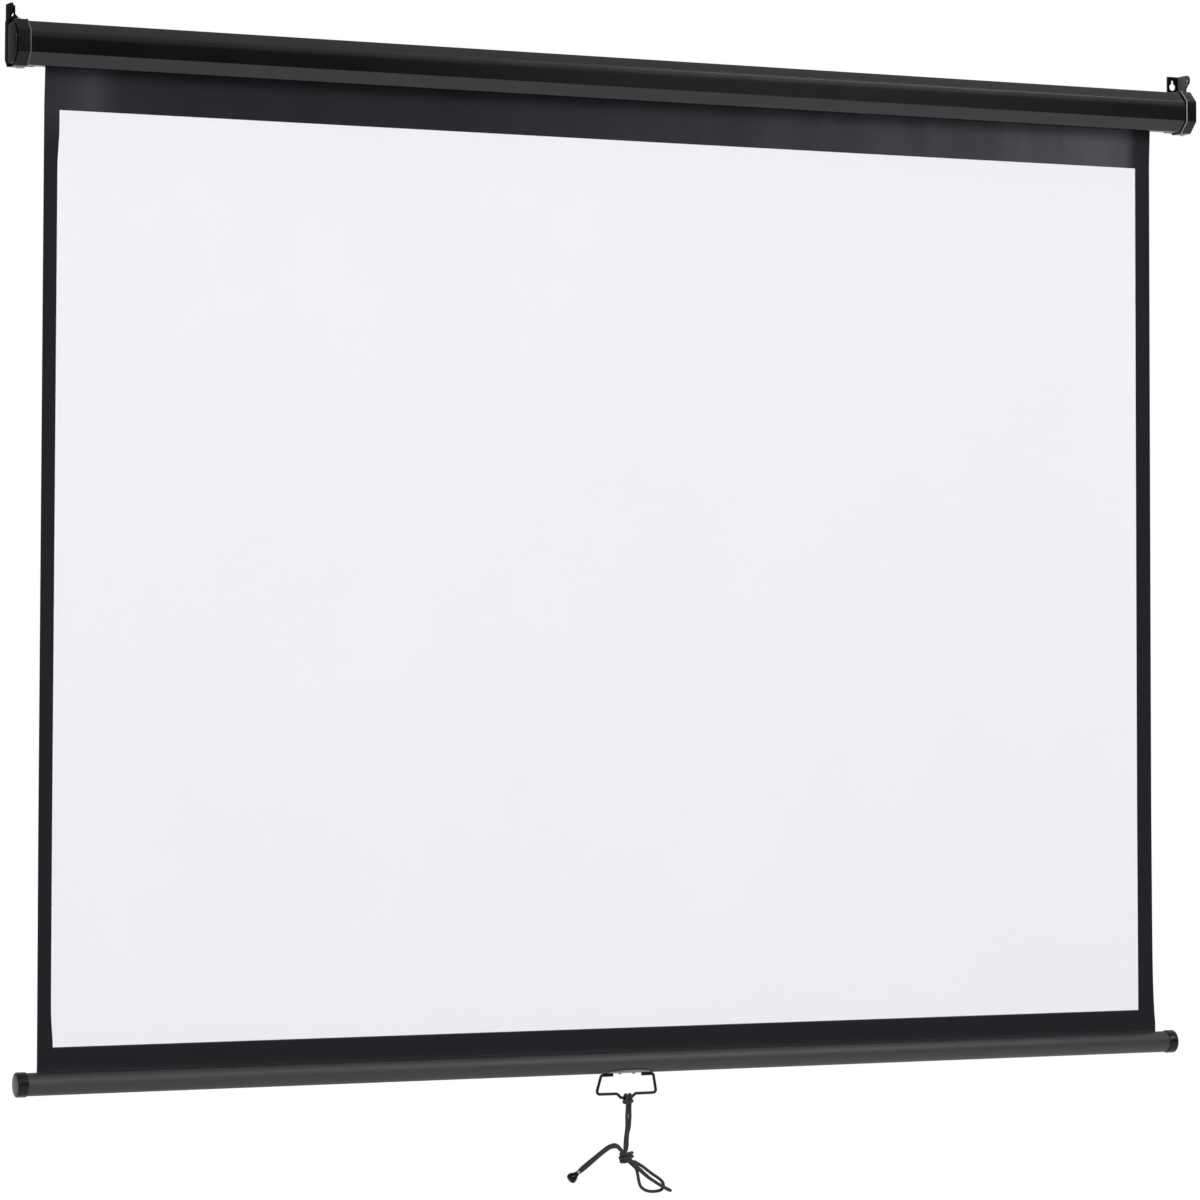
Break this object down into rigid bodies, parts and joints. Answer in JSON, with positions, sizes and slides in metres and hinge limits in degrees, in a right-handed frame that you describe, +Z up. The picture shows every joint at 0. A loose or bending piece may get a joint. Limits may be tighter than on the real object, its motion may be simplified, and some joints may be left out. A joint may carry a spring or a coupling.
{
  "type": "pull-down projection screen",
  "caption": "Wall-mounted pull-down projector screen: black octagonal casing with a spring roller, black-bordered white sheet, weighted bottom tube, wire handle and knotted pull cord.",
  "frame": {"origin": "middle of the casing's flat rear face, in the wall plane", "axes": "+X along the casing towards its spring end, +Y into the wall, +Z up; the room is on the -Y side"},
  "size_m": [2.2254, 0.0681, 1.9784],
  "materials": {
    "casing_paint": "satin powder coat",
    "cap_plastic": "fine moulded grain",
    "bracket_paint": "satin powder coat",
    "bare_steel": "zinc plated",
    "spring_steel": "oiled wire",
    "nylon": "natural moulding",
    "screen_cloth": "matt white coating with black borders",
    "bar_paint": "satin powder coat",
    "handle_paint": "semi-gloss paint",
    "cord_weave": "braided cord",
    "bell_gloss": "polished"
  },
  "bodies": {
    "casing": {"casing_shell": "casing_paint", "left_end_cap": "cap_plastic", "right_end_cap": "cap_plastic", "left_end_cover": "cap_plastic", "right_end_cover": "cap_plastic", "left_hang_bracket": "bracket_paint", "right_hang_bracket": "bracket_paint", "idle_bush": "nylon", "spring_shaft": "bare_steel", "ratchet_wheel": "bare_steel", "torsion_spring": "spring_steel", "screen_sheet": "screen_cloth"},
    "roller": {"roller_tube": "bare_steel", "fabric_roll": "screen_cloth", "idle_plug": "nylon", "lock_plug": "nylon", "idle_pin": "bare_steel", "spring_anchor": "nylon", "pawl_pin": "bare_steel"},
    "pawl": {"lock_pawl": "bare_steel"},
    "bar": {"bar_tube": "bar_paint", "hem_rod": "bare_steel", "left_bar_cap": "cap_plastic", "right_bar_cap": "cap_plastic", "handle_saddle": "handle_paint"},
    "bail": {"handle_bail": "handle_paint"},
    "cord": {"cord_legs": "cord_weave", "gather_knot": "cord_weave", "cord_loop_long": "cord_weave", "cord_loop_short": "cord_weave", "cord_tail": "cord_weave", "cord_bell": "bell_gloss"}
  },
  "joints": [
    {"name": "screen_travel", "type": "slide", "parent": "casing", "child": "bar", "axis": [0, 0, 1], "range_m": [0, 1.618], "deforming": ["screen_sheet"]},
    {"name": "roller_spin", "type": "hinge", "parent": "casing", "child": "roller", "pos_m": [0, -0.038, 0], "axis": [1, 0, 0], "range_deg": [0, 5041]},
    {"name": "pawl_swing", "type": "hinge", "parent": "roller", "child": "pawl", "pos_m": [1.0798, -0.038, 0.014], "axis": [1, 0, 0], "range_deg": [0, 24]},
    {"name": "bail_swing", "type": "hinge", "parent": "bar", "child": "bail", "pos_m": [-0.004, -0.0221, -1.70345], "axis": [1, 0, 0], "range_deg": [-75, 75]},
    {"name": "cord_swing", "type": "hinge", "parent": "bail", "child": "cord", "pos_m": [-0.0035, -0.0221, -1.74235], "axis": [-1, 0, 0], "range_deg": [-75, 75]}
  ],
  "couplings": [
    {"joint": "roller_spin", "follows": "screen_travel", "rad_per_m": 54.366}
  ]
}
